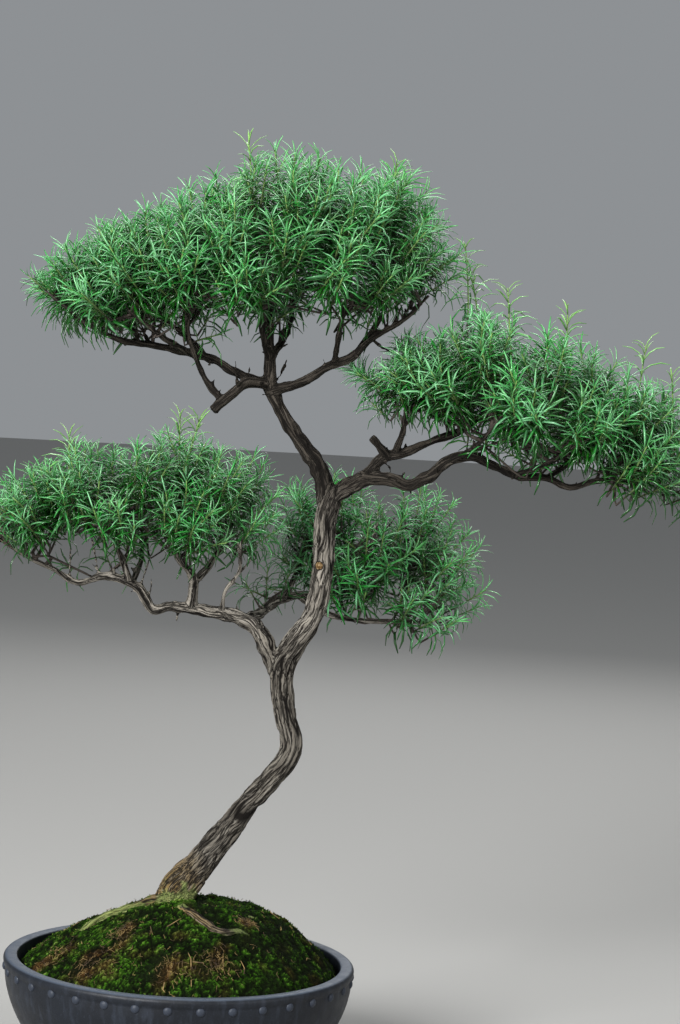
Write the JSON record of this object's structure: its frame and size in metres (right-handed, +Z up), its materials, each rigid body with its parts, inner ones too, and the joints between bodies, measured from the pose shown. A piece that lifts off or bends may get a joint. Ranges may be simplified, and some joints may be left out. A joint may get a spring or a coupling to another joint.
{
  "type": "potted rosemary bonsai",
  "caption": "Rosemary grown as an informal upright bonsai with clipped leafy pads, on a mossy mound in a shallow round drum pot.",
  "frame": {"origin": "centre of the pot's flat base, on the surface it stands on", "axes": "+Z up; -Y is the tree's front, the side that the picture shows; +X is to the right seen from the front, the side that the long lowest-but-one limb reaches to"},
  "size_m": [0.6327, 0.3686, 0.8256],
  "materials": {
    "pot": "matte",
    "soil": "matte",
    "moss": "matte",
    "wood": "matte",
    "foliage": "satin"
  },
  "bodies": {
    "root": {"pot": "pot", "soil": "soil", "moss": "moss", "wood": "wood", "crown_spray_01": "foliage", "crown_spray_02": "foliage", "crown_spray_03": "foliage", "crown_spray_04": "foliage", "crown_spray_05": "foliage", "crown_spray_06": "foliage", "crown_spray_07": "foliage", "crown_spray_08": "foliage", "crown_spray_09": "foliage", "crown_spray_10": "foliage", "crown_spray_11": "foliage", "right_spray_01": "foliage", "right_spray_02": "foliage", "right_spray_03": "foliage", "right_spray_04": "foliage", "right_spray_05": "foliage", "right_spray_06": "foliage", "right_spray_07": "foliage", "right_spray_08": "foliage", "right_spray_09": "foliage", "left_spray_01": "foliage", "left_spray_02": "foliage", "left_spray_03": "foliage", "left_spray_04": "foliage", "left_spray_05": "foliage", "left_spray_06": "foliage", "left_spray_07": "foliage", "left_spray_08": "foliage", "back_spray_01": "foliage", "back_spray_02": "foliage", "back_spray_03": "foliage", "back_spray_04": "foliage", "back_spray_05": "foliage", "back_spray_06": "foliage"}
  },
  "joints": []
}
